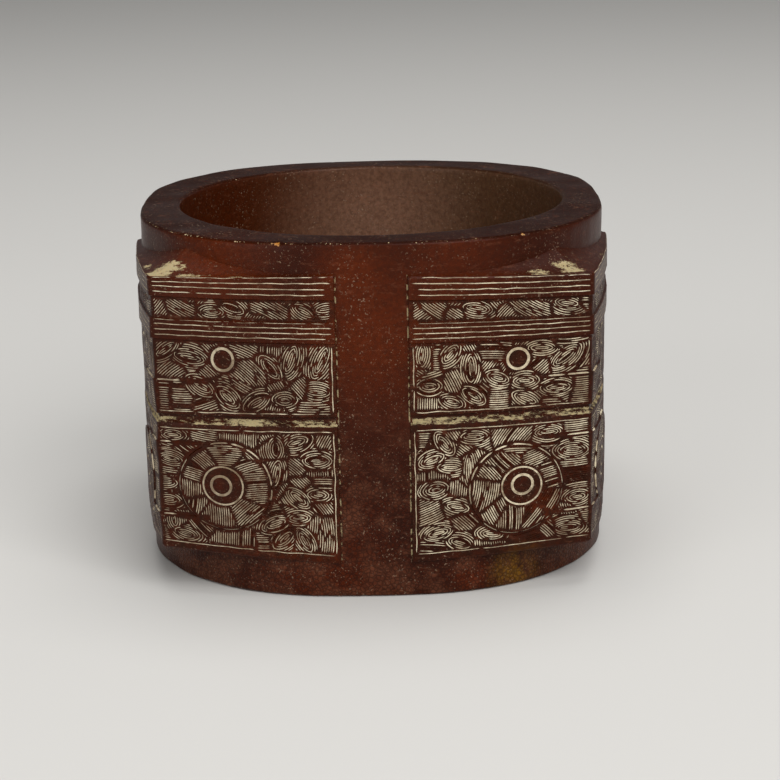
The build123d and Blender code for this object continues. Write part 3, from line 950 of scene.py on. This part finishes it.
class CONG_OT_tube(bpy.types.Operator):
    """Turn the bored tube with its two collars and plain bands"""

    bl_idname = "cong.tube"
    bl_label = "Bored tube"

    def execute(self, context):
        alone(None)
        bpy.ops.mesh.primitive_cylinder_add(
            vertices=COLUMNS, radius=COLLAR_HALF * MM, depth=HEIGHT * MM, location=(0, 0, HEIGHT * MM / 2)
        )
        tube = context.object
        tube.name = tube.data.name = "jade_tube"
        bpy.ops.object.transform_apply(location=True)
        bpy.ops.object.mode_set(mode="EDIT")
        self.pick(tube, "FACE", lambda face: abs(face.normal.z) > 0.9)
        bpy.ops.mesh.inset(thickness=(COLLAR_HALF - BORE_RADIUS) * MM, use_individual=True)
        bpy.ops.mesh.bridge_edge_loops()
        self.pick(tube, "EDGE", lambda edge: self.rise(edge) > HEIGHT * MM * 0.9)
        bpy.ops.mesh.subdivide(number_cuts=ROWS - 1)
        self.pick(tube, "EDGE", self.is_rim)
        bpy.ops.mesh.bevel(offset=context.scene.cong_sizes.rim_rounding, segments=RIM_SEGMENTS, profile=0.5)
        self.pick(tube, "EDGE", lambda edge: self.run(edge) > 3 * MM)
        bpy.ops.mesh.subdivide(number_cuts=END_CUTS)
        bpy.ops.object.mode_set(mode="OBJECT")
        self.wear(tube.data)
        tube.data.materials.append(material(JADE, jade_stone))
        alone(tube)
        bpy.ops.object.shade_smooth_by_angle(angle=math.radians(TUBE_SMOOTH))
        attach(tube, BODY)
        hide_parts("jade_block")
        return {"FINISHED"}

    def pick(self, tube, kind, test):
        """Selects the faces or edges that pass a test."""
        bpy.ops.mesh.select_mode(type=kind)
        bpy.ops.mesh.select_all(action="DESELECT")
        form = bmesh.from_edit_mesh(tube.data)
        for part in form.faces if kind == "FACE" else form.edges:
            if test(part):
                part.select_set(True)
        form.select_flush_mode()
        bmesh.update_edit_mesh(tube.data)

    def rise(self, edge):
        """How far an edge climbs."""
        return abs(edge.verts[0].co.z - edge.verts[1].co.z)

    def run(self, edge):
        """How far an edge runs away from the axis."""
        return abs(edge.verts[0].co.xy.length - edge.verts[1].co.xy.length)

    def is_rim(self, edge):
        """Whether an edge lies along one of the four rims."""
        level = all(min(end.co.z, HEIGHT * MM - end.co.z) < 1e-6 for end in edge.verts)
        return level and self.run(edge) < 1e-6

    def wear(self, mesh):
        """Brings the round tube to the collar's outline and wears its faces and rims, with painted glints
        along the rims' edges.
        """
        points = np.empty(len(mesh.vertices) * 3, np.float32)
        mesh.vertices.foreach_get("co", points)
        points = points.reshape(-1, 3).astype(float) / MM
        angle = np.arctan2(points[:, 1], points[:, 0])
        share = (np.hypot(points[:, 0], points[:, 1]) - BORE_RADIUS) / (COLLAR_HALF - BORE_RADIUS)
        radius = BORE_RADIUS + share * (collar_radius(angle) - BORE_RADIUS)
        swell = sum(high * waves(points, size, seed) for high, size, seed in TUBE_SWELLS)
        radius += swell * np.where(share > 0.5, 1, BORE_SWELL)
        z = points[:, 2]
        reach, deep, size, seed = RIM_WORN
        near_rim = np.exp(-np.minimum(z, HEIGHT - z) / reach)
        z += np.sign(HEIGHT / 2 - z) * near_rim * np.clip(deep + deep * waves(points, size, seed), 0, 1)
        chips = self.chip(radius, angle, z)
        # Painted glints along every rim edge, kept in the same share as the chips
        across = np.minimum(1 - share, share + INNER_EXTRA) * EDGE_ACROSS
        from_edge = np.hypot(np.minimum(z, HEIGHT - z), across)
        chips = np.maximum(chips, EDGE_GLINT_SHOWN * np.exp(-((from_edge / EDGE_FALL) ** 2)))
        made = np.stack([radius * np.cos(angle), radius * np.sin(angle), z], -1)
        mesh.vertices.foreach_set("co", (made * MM).astype(np.float32).ravel())
        set_wear(mesh, (0 * z, 0 * z, chips))
        mesh.update()

    def chip(self, radius, angle, z):
        """Dents the rims in place and returns how much each point shows of a chip."""
        chips = np.zeros(len(z))
        chance = random.Random(CHIP_SEED)
        rims = (OUTER_HEAD, OUTER_HEAD, OUTER_HEAD, INNER_HEAD, OUTER_FOOT, INNER_FOOT)
        spots = [(turn, OUTER_HEAD) for turn in READ_CHIPS]
        spots += [(chance.uniform(-180, 180), chance.choice(rims)) for _ in range(STRAY_CHIPS)]
        for number, (turn, (on_head, inner)) in enumerate(spots):
            turn = math.radians(turn)
            size = chance.uniform(*(LARGE_CHIP if number < LARGE_CHIPS else SMALL_CHIP))
            edge = BORE_RADIUS if inner else float(collar_radius(turn))
            centre = np.array([edge * math.cos(turn), edge * math.sin(turn), HEIGHT if on_head else 0])
            away = np.stack([radius * np.cos(angle), radius * np.sin(angle), z], -1) - centre
            dent = np.clip(1 - (np.linalg.norm(away / [1, 1, CHIP_TALL], axis=1) / size) ** 2, 0, 1)
            chips = np.maximum(chips, CHIP_SHOWN * dent)
            z += dent * size * CHIP_DROP * (-1 if on_head else 1)
            radius += dent * size * CHIP_INWARD * (1 if inner else -1)
        return chips


class CONG_OT_blocks(bpy.types.Operator):
    """Carve the four corner blocks with their masks and bars"""

    bl_idname = "cong.blocks"
    bl_label = "Corner blocks"

    def execute(self, context):
        low = np.array([-END - WALL_OUT, SOLE - LOWER_OUT]) - LAYOUT_MARGIN
        high = np.array([END + WALL_OUT, TOP + UPPER_OUT]) + LAYOUT_MARGIN
        for corner, name in enumerate(NAMES):
            halves, scrolls, bars, frames = carving(corner)
            flat, depths, triangles = skin_sheet(halves, scrolls + bars + frames).triangles()
            u, v = flat.T
            shape = block_point(corner, u, v, relief(corner, u, v, [half.eyes for half in halves]) - depths)
            points, faces, flats = close_skin(corner, flat, shape, triangles)
            uv, wear = (flats - low) / (high - low), skin_wear_and_highlight(corner, flats)
            block = mesh_piece("corner_block_" + name, points, faces, material(JADE, jade_stone), uv, wear)
            self.tuck_back(block.data)
            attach(block, BODY)
            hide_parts("jade_block")
        return {"FINISHED"}

    def tuck_back(self, mesh):
        """Gives the hidden back a small corner of the flat layout, where nothing of the front lies."""
        hub = max(mesh.polygons[-1].vertices)
        first = next(side.loop_start for side in mesh.polygons if hub in side.vertices)
        layer = mesh.uv_layers["OFBake"]
        places = np.empty(len(mesh.loops) * 2, np.float32)
        layer.uv.foreach_get("vector", places)
        places[2 * first :] = HIDDEN_AT + HIDDEN_STEP * (np.arange(len(places) - 2 * first) % HIDDEN_STEPS)
        layer.uv.foreach_set("vector", places)


def lay_residue(name, strokes_by_corner):
    """Makes one piece of all the residue in the strokes of some corner blocks."""
    recess = bpy.context.scene.cong_sizes.recess / MM
    parts, flats = [], []
    for corner, strokes in strokes_by_corner:
        eyes = [half.eyes for half in carving(corner)[0]]
        for stroke in strokes:
            if stroke.filled:
                points, faces, flat = strip(corner, stroke, eyes, recess)
                parts.append((points, faces))
                flats.append(flat + [2 * END * corner, 0])
    uv = (np.concatenate(flats) + [END, 0]) / [2 * END * len(NAMES), HEIGHT]
    piece = mesh_piece(name, *joined(parts), material(RESIDUE, packed_residue), uv)
    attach(piece, BODY)


class CONG_OT_scroll_residue(bpy.types.Operator):
    """Pack pale earth into the scrolls of each corner block"""

    bl_idname = "cong.scroll_residue"
    bl_label = "Residue in the scrolls"

    def execute(self, context):
        for corner, name in enumerate(NAMES):
            halves, scrolls, bars, frames = carving(corner)
            lay_residue("scroll_residue_" + name, [(corner, scrolls)])
        return {"FINISHED"}


class CONG_OT_line_residue(bpy.types.Operator):
    """Pack pale earth into the lines of the bars and of the frames"""

    bl_idname = "cong.line_residue"
    bl_label = "Residue in the lines"

    def execute(self, context):
        halves, scrolls, bars, frames = zip(*(carving(corner) for corner in range(len(NAMES))))
        lay_residue("bar_line_residue_and_highlight", enumerate(bars))
        lay_residue("frame_line_residue_and_highlight", enumerate(frames))
        return {"FINISHED"}


class CONG_OT_ring_residue(bpy.types.Operator):
    """Pack pale earth into the drilled rings of the eyes"""

    bl_idname = "cong.ring_residue"
    bl_label = "Residue in the rings"

    def execute(self, context):
        for kind, wide in RING_HALF_WIDTHS.items():
            parts = []
            for corner in range(len(NAMES)):
                eyes = [half.eyes for half in carving(corner)[0]]
                parts += [ring_fill(corner, eye[kind], wide, eyes) for eye in eyes]
            name = kind + "_ring_residue"
            piece = mesh_piece(name + "_dressed", *joined(parts), material(RESIDUE, packed_residue))
            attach(piece, BODY)
            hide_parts(name)
        return {"FINISHED"}


def add(tree, kind, links=None, **settings):
    """Adds a node: settings are its properties, and links are sockets or values for its inputs."""
    made = tree.nodes.new(kind)
    for name, value in settings.items():
        setattr(made, name, value)
    for name, value in (links or {}).items():
        if isinstance(value, bpy.types.NodeSocket):
            tree.links.new(value, made.inputs[name])
        else:
            made.inputs[name].default_value = value
    return made


def material(name, nodes):
    """The material of a name, with its nodes made by a function the first time that it is asked for."""
    if name not in bpy.data.materials:
        made = bpy.data.materials.new(name)
        made.use_nodes = True
        made.node_tree.nodes.clear()
        nodes(made.node_tree)
    return bpy.data.materials[name]


def shaded(tree, links):
    """Ends a material in one surface with the given inputs."""
    shader = add(tree, "ShaderNodeBsdfPrincipled", links)
    add(tree, "ShaderNodeOutputMaterial", {"Surface": shader.outputs[0]})


def clouds(tree, rows):
    """Cloudy shares by name.

    A row holds the name, where the noise is read, the size of its swells in millimetres, its detail and
    roughness, and the values of the noise at which the share is 0 and 1."""
    made = {}
    for name, at, size, detail, rough, low, high in rows:
        scale = 1 / (size * MM)
        links = {"Vector": at, "Scale": scale, "Detail": detail, "Roughness": rough}
        noise = add(tree, "ShaderNodeTexNoise", links).outputs["Fac"]
        links = {"Value": noise, "From Min": low, "From Max": high}
        made[name] = add(tree, "ShaderNodeMapRange", links).outputs["Result"]
    return made


def spots(tree, at, rows):
    """Soft round shares, each 1 at its centre and 0 from its radius on, both given in millimetres."""
    for centre, radius in rows:
        centre = [part * MM for part in centre]
        far = add(tree, "ShaderNodeVectorMath", {0: at, 1: centre}, operation="DISTANCE").outputs["Value"]
        links = {"Value": far, "From Min": radius * MM, "From Max": 0.0}
        yield add(tree, "ShaderNodeMapRange", links, interpolation_type="SMOOTHSTEP").outputs["Result"]


def layered(tree, colour, layers):
    """A colour with tints laid over it, each given with its strength and the shares that bound it."""
    for tint, amount, *shares in layers:
        for share in shares:
            amount = add(tree, "ShaderNodeMath", {0: share, 1: amount}, operation="MULTIPLY").outputs[0]
        colour = add(tree, "ShaderNodeMix", {0: amount, 6: colour, 7: tint}, data_type="RGBA").outputs[2]
    return colour


# Where the stone is amber, as centre, radius and strength, and stained, as centre, radius and tint
AMBER_SPOTS = (
    ((0, -37, 40), 15, 0.7),
    ((25, -33.5, 13), 4, 0.8),
    ((14, -36, 3), 5, 0.7),
    ((-22, -30, 51), 13, 0.8),
    ((-3, -36, 50), 8, 0.7),
    ((12, -36, 51), 12, 0.45),
    ((-8, -36, 3), 16, 0.45),
    ((30, -22, 2), 9, 0.5),
    ((36, 4, 40), 16, 0.5),
    ((-36, -4, 30), 16, 0.4),
    ((-4, 37, 24), 18, 0.5),
)
FOOT_STAINS = (
    ((21.5, -33, 2.4), 6.5, "#765010"),
    ((14.8, -36, 2.6), 3.6, "#5C2207"),
    ((30, -24, 2.5), 8, "#5A2A08"),
)
AMBER_CHIPS = ((-13.2, -34.4, 54), (21.8, -30.2, 54))
AMBER_CHIP_RADIUS = 2.2
# A painted pool of light on the bore's far wall, as centre and radius
BORE_PAINTED_LIGHT = ((0, 30, 42), 24)
DIM_RESIDUE = (
    ((-22, -33, 14), 24, 0.5),
    ((-31, -33, 36), 13, 0.5),
    ((-18, -35, 37), 14, 0.45),
    ((26, -34, 9), 10, 0.4),
)
CRACK_CELL = 0.62  # the net of hairline cracks is finer on the stone, and drawn as coarse as it needs to show


def jade_stone(tree):
    """Nephrite, ground and rubbed to a polish.

    Nephrite is a felt of fine fibres, so its polish is waxy rather than glassy: soft broad highlights on a
    dark red-brown that turns amber where light sinks in. Handling and burial show as a net of cracks low on
    the bands, a dull film on the carved panels, pale chips along the rims and crust in the channel and on the
    slopes. Light is painted in as well: glints along the rim edges, a highlight along the channel's lower
    lip, sheen in the pale streaks, a grey sheen and a pool of light in the bore, and painted shade on the top
    face."""
    colours = bpy.context.scene.cong_colours
    stone, amber, film_tint = (list(tint) for tint in (colours.stone, colours.amber, colours.film))
    at = add(tree, "ShaderNodeTexCoord").outputs["Object"]
    fibres = add(tree, "ShaderNodeMapping", {"Vector": at, "Scale": (0.35, 0.35, 1.0)}).outputs[0]
    wear = add(tree, "ShaderNodeVertexColor", layer_name="Wear_and_painted_light").outputs["Color"]
    crust_and_highlight, film, chips = add(tree, "ShaderNodeSeparateColor", {0: wear}).outputs
    x, y, z = add(tree, "ShaderNodeSeparateXYZ", {0: at}).outputs
    flat = add(tree, "ShaderNodeVectorMath", {0: at, 1: [1, 1, 0]}, operation="MULTIPLY").outputs[0]
    radius = add(tree, "ShaderNodeVectorMath", {0: flat}, operation="LENGTH").outputs["Value"]
    net = {"Vector": at, "Scale": 1 / (CRACK_CELL * MM)}
    crack = add(tree, "ShaderNodeTexVoronoi", net, feature="DISTANCE_TO_EDGE").outputs["Distance"]
    cloud = clouds(
        tree,
        (
            ("mottle", at, 13, 4, 0.55, 0.38, 0.68),
            ("veins", at, 2.6, 5, 0.55, 0.36, 0.52),
            ("islands", at, 3.5, 4, 0.55, 0.42, 0.62),
            ("dust", at, 1.4, 4, 0.55, 0.35, 0.65),
            ("grain", at, 0.7, 6, 0.7, 0.4, 0.62),
            ("scuffs_and_sheen", fibres, 0.8, 5, 0.75, 0.56, 0.72),
            ("specks", at, 0.33, 2, 0.55, 0.63, 0.7),
            ("patches", at, 6, 3, 0.55, 0.38, 0.6),
            ("glints", at, 0.4, 2, 0.55, 0, 1),
            ("streaks", fibres, 0.55, 8, 0.85, 0.3, 0.7),
            ("lumps", at, 0.9, 4, 0.55, 0.5, 0.56),
            ("pits", at, 0.5, 3, 0.55, 0, 1),
        ),
    )
    streaked, chips_and_glints = (
        add(tree, "ShaderNodeMath", {0: cloud[name], 1: amount}, operation="ADD").outputs[0]
        for name, amount in (("streaks", crust_and_highlight), ("glints", chips))
    )
    share = {}
    for name, value, low, high in (
        ("unfilmed", film, 0.6, 0.1),
        ("low", z, 32 * MM, 16 * MM),
        ("cracks", crack, 0.22, 0.02),
        ("bore", radius, 31.2 * MM, 30.6 * MM),
        ("bore right", x, -25 * MM, 12 * MM),
        ("shaded_top", z, (HEIGHT - 0.45) * MM, (HEIGHT - 0.2) * MM),
        ("ragged", streaked, 1.16, 1.28),
        ("crusted_and_highlit", crust_and_highlight, 0.05, 0.2),
        ("chips_and_glints", chips_and_glints, 0.93, 1.0),
        ("above sole", z, 5.8 * MM, 6 * MM),
        ("below top", z, 49.2 * MM, 49 * MM),
        ("outside", radius, 32 * MM, 34 * MM),
    ):
        links = {"Value": value, "From Min": low, "From Max": high}
        share[name] = add(tree, "ShaderNodeMapRange", links).outputs["Result"]

    # Crust lodged along the foot of the walls beside the bands, joined to that of the channel and slopes
    across = [add(tree, "ShaderNodeMath", {0: part}, operation="ABSOLUTE").outputs[0] for part in (x, y)]
    nearer = add(tree, "ShaderNodeMath", {0: across[0], 1: across[1]}, operation="MINIMUM").outputs[0]
    beside_band = {0: nearer, 1: 5.2 * MM, 2: 0.1 * MM}
    lodged = add(tree, "ShaderNodeMath", beside_band, operation="COMPARE").outputs[0]
    for part in (share["above sole"], share["below top"], cloud["lumps"], share["outside"], 0.8):
        lodged = add(tree, "ShaderNodeMath", {0: lodged, 1: part}, operation="MULTIPLY").outputs[0]
    ragged = {0: share["ragged"], 1: share["crusted_and_highlit"]}
    ragged = add(tree, "ShaderNodeMath", ragged, operation="MULTIPLY").outputs[0]
    crust_and_painted_highlight = add(tree, "ShaderNodeMath", {0: ragged, 1: lodged}, operation="MAXIMUM").outputs[0]

    # Painted light in the bore: a grey sheen towards its right, and a pale pool of light on its far wall
    painted_bore_sheen = (linear("#543A27"), 1, share["bore right"])
    painted_bore_light = (linear("#7C5A47"), 1, *spots(tree, at, [BORE_PAINTED_LIGHT]))
    bore_with_painted_light = layered(tree, linear("#421703"), (painted_bore_sheen, painted_bore_light))
    amber_chips = spots(tree, at, [(centre, AMBER_CHIP_RADIUS) for centre in AMBER_CHIPS])
    chip_and_glint_tint = layered(tree, linear("#C4AE88"), [(linear("#B06E1C"), 1, chip) for chip in amber_chips])
    ambers = zip(AMBER_SPOTS, spots(tree, at, [row[:2] for row in AMBER_SPOTS]))
    stains = zip(FOOT_STAINS, spots(tree, at, [row[:2] for row in FOOT_STAINS]))
    colour = layered(
        tree,
        stone,
        (
            (linear("#280A01"), 0.5, cloud["mottle"]),
            *((amber, row[2], spot) for row, spot in ambers),
            *((linear(row[2]), 1, spot, cloud["veins"]) for row, spot in stains),
            (linear("#643A27"), 0.6, share["low"], share["unfilmed"], cloud["islands"]),
            (linear("#1C0802"), 0.6, share["low"], share["unfilmed"], share["cracks"]),
            (bore_with_painted_light, 0.9, share["bore"]),
            # Painted shade: the tube's top face is darkened so that it stays dark as if unlit
            (linear("#1A0500"), 0.75, share["shaded_top"]),
            (film_tint, 0.75, film, cloud["dust"]),
            (linear("#240C03"), 0.4, cloud["grain"]),
            # Pale streaks along the fibres: scuffs, with painted sheen
            (linear("#7A4A34"), 0.3, cloud["scuffs_and_sheen"]),
            (linear("#8C7560"), 0.6, cloud["specks"], cloud["patches"]),
            # Pale chips, and painted glints along the rim edges
            (chip_and_glint_tint, 0.8, share["chips_and_glints"]),
            # Crust, with the painted highlight along the channel's lower lip
            (linear("#AC9C76"), 0.9, crust_and_painted_highlight),
        ),
    )
    dull = add(tree, "ShaderNodeMath", {0: film, 1: cloud["dust"]}, operation="MULTIPLY").outputs[0]
    rough = 0.33
    for part, amount in ((dull, 0.2), (cloud["mottle"], 0.1), (crust_and_painted_highlight, 0.5)):
        links = {0: part, 1: amount, 2: rough}
        rough = add(tree, "ShaderNodeMath", links, operation="MULTIPLY_ADD", use_clamp=True).outputs[0]
    groove = -0.9
    for part in (share["low"], share["unfilmed"], share["cracks"]):
        groove = add(tree, "ShaderNodeMath", {0: part, 1: groove}, operation="MULTIPLY").outputs[0]
    height = add(tree, "ShaderNodeMath", {0: cloud["pits"], 1: groove}, operation="ADD").outputs[0]
    # The same top face also gets less specular, so that it stays dark along with its painted shade
    sheen = add(tree, "ShaderNodeMapRange", {"Value": share["shaded_top"], "To Min": 0.075, "To Max": 0.015})
    bump = add(tree, "ShaderNodeBump", {"Strength": 0.5, "Distance": 0.07 * MM, "Height": height})
    links = {
        "Base Color": colour,
        "Roughness": rough,
        "IOR": 1.61,
        "Specular IOR Level": sheen.outputs["Result"],
        "Subsurface Weight": 0.08,
        "Subsurface Radius": (1.0, 0.35, 0.12),
        "Subsurface Scale": 1.5 * MM,
        "Normal": bump.outputs[0],
    }
    shaded(tree, links)


def packed_residue(tree):
    """Fine earth and wax, rubbed into the cuts and dried.

    It is chalky and without shine, so the lines show as flat pale buff, browner where dirt has stained it or
    where it is rubbed thin and the stone shows through."""
    colours = bpy.context.scene.cong_colours
    at = add(tree, "ShaderNodeTexCoord").outputs["Object"]
    cloud = clouds(
        tree,
        (
            ("patches", at, 5, 3, 0.55, 0.4, 0.66),
            ("thin", at, 0.8, 4, 0.55, 0.46, 0.66),
            ("faded", at, 2.2, 3, 0.55, 0.48, 0.6),
            ("grains", at, 0.12, 2, 0.55, 0, 1),
        ),
    )
    dim = zip(DIM_RESIDUE, spots(tree, at, [row[:2] for row in DIM_RESIDUE]))
    layers = (
        (linear("#AE9D80"), 1, cloud["patches"]),
        (linear("#6B5335"), 0.6, cloud["thin"]),
        *((linear("#5A4128"), row[2], spot) for row, spot in dim),
        (linear("#54391F"), 0.6, cloud["faded"]),
    )
    colour = layered(tree, list(colours.residue), layers)
    bump = add(tree, "ShaderNodeBump", {"Strength": 0.4, "Distance": 0.02 * MM, "Height": cloud["grains"]})
    shaded(tree, {"Base Color": colour, "Roughness": 0.85, "IOR": 1.5, "Normal": bump.outputs[0]})


def painted_floor(tree):
    """Board with a coat of matte paint: a plain pale ground that takes shadows and mirrors nothing."""
    colour = list(bpy.context.scene.cong_colours.floor)
    shaded(tree, {"Base Color": colour, "Roughness": 0.9, "Specular IOR Level": 0.1})


# The stage in metres: a floor just under the foot, lamps as name, place, size and power, and what they aim at
FLOOR_SIZE, FLOOR_DROP = 6, 0.02 * MM
ROOM = ("#DADADA", 0.35)
LAMPS = (
    ("key", (0.38, -0.82, 0.8), 0.9, 11.2),
    ("fill", (-0.6, -0.7, 0.3), 0.6, 2.5),
    ("top", (0.05, 0.1, 0.9), 0.6, 3.5),
)
AIM = (0, 0, 0.025)

# The photograph's view, found from the rims, the block corners and the foot, in millimetres and radians
CAMERA_PLACE = (2.43, -340.3, 115.55)
PITCH, ROLL = 0.268, -0.02
FOCAL_LENGTH, SENSOR_WIDTH = 99.86, 36


class CONG_OT_stage(bpy.types.Operator):
    """Set out the pale floor, the soft lamps and the camera"""

    bl_idname = "cong.stage"
    bl_label = "Stage"

    def execute(self, context):
        alone(None)
        bpy.ops.mesh.primitive_plane_add(size=FLOOR_SIZE, location=(0, 0, -FLOOR_DROP))
        floor = context.object
        floor.name = floor.data.name = "floor"
        floor.data.materials.append(material(FLOOR, painted_floor))
        world = bpy.data.worlds.new("Pale_room")
        context.scene.world = world
        world.use_nodes = True
        world.node_tree.nodes.clear()
        sky = add(world.node_tree, "ShaderNodeBackground", {"Color": linear(ROOM[0]), "Strength": ROOM[1]})
        add(world.node_tree, "ShaderNodeOutputWorld", {"Surface": sky.outputs[0]})
        for name, place, size, power in LAMPS:
            lamp = bpy.data.lights.new(name, "AREA")
            lamp.size = size
            lamp.energy = power
            holder = bpy.data.objects.new(name, lamp)
            context.collection.objects.link(holder)
            holder.location = place
            holder.rotation_euler = (Vector(AIM) - Vector(place)).to_track_quat("-Z", "Y").to_euler()
        self.camera(context)
        context.scene.view_settings.view_transform = "Standard"
        return {"FINISHED"}

    def camera(self, context):
        """Sets up the photograph's view."""
        ahead = Vector((0, math.cos(PITCH), -math.sin(PITCH)))
        level = Vector((1, 0, 0))
        above = level.cross(ahead)
        right = level * math.cos(ROLL) + above * math.sin(ROLL)
        up = above * math.cos(ROLL) - level * math.sin(ROLL)
        lens = bpy.data.cameras.new("camera")
        lens.lens = FOCAL_LENGTH
        lens.sensor_width = SENSOR_WIDTH
        lens.clip_start = 0.01
        holder = bpy.data.objects.new("camera", lens)
        context.collection.objects.link(holder)
        turn = Matrix((right, up, -ahead)).transposed().to_4x4()
        holder.matrix_world = Matrix.Translation(Vector(CAMERA_PLACE) * MM) @ turn
        context.scene.camera = holder


class CONG_PT_panel(bpy.types.Panel):
    """The pieces of the cong and what can be set on them"""

    bl_label = "Jade Cong"
    bl_idname = "CONG_PT_panel"
    bl_space_type = "VIEW_3D"
    bl_region_type = "UI"
    bl_category = "Cong"

    def draw(self, context):
        for group in (context.scene.cong_sizes, context.scene.cong_colours):
            for name in group.__annotations__:
                self.layout.prop(group, name)
        for operator in OPERATORS:
            self.layout.operator(operator.bl_idname)


OPERATORS = (
    CONG_OT_tube,
    CONG_OT_blocks,
    CONG_OT_scroll_residue,
    CONG_OT_line_residue,
    CONG_OT_ring_residue,
    CONG_OT_stage,
)
CLASSES = (CongSizes, CongColours, *OPERATORS, CONG_PT_panel)


def register():
    for made in CLASSES:
        bpy.utils.register_class(made)
    bpy.types.Scene.cong_sizes = bpy.props.PointerProperty(type=CongSizes)
    bpy.types.Scene.cong_colours = bpy.props.PointerProperty(type=CongColours)


def unregister():
    del bpy.types.Scene.cong_sizes, bpy.types.Scene.cong_colours
    for made in reversed(CLASSES):
        bpy.utils.unregister_class(made)


def main():
    """Makes the whole object."""
    register()
    bpy.ops.cong.tube()
    bpy.ops.cong.blocks()
    bpy.ops.cong.scroll_residue()
    bpy.ops.cong.line_residue()
    bpy.ops.cong.ring_residue()
    bpy.ops.cong.stage()


if __name__ == "__main__":
    main()
